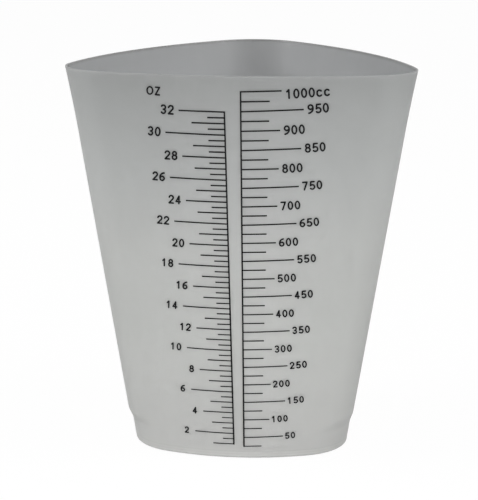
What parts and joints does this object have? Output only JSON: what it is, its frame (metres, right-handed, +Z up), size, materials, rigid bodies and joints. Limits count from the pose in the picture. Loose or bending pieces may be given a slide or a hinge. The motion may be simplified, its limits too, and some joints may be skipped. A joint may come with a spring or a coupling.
{
  "type": "mixing cup",
  "caption": "Open three-cornered mixing cup of translucent plastic, tapering to a flat base, with printed ounce and cc scales for measuring resin.",
  "frame": {"origin": "centre of the flat base, on the cup's three-fold axis, on the plane that the cup stands on", "axes": "+Z up through the open mouth; -Y towards the printed side; +Y towards the corner opposite the print; the cc scale is on the +X side of the print"},
  "size_m": [0.1266, 0.1218, 0.144],
  "materials": {
    "cup_plastic": "translucent natural, satin",
    "ink": "flat black print"
  },
  "bodies": {
    "root": {"cup_body": "cup_plastic", "oz_scale": "ink", "cc_scale": "ink", "oz_numerals": "ink", "cc_numerals": "ink", "oz_unit_mark": "ink", "cc_unit_mark": "ink"}
  },
  "joints": []
}
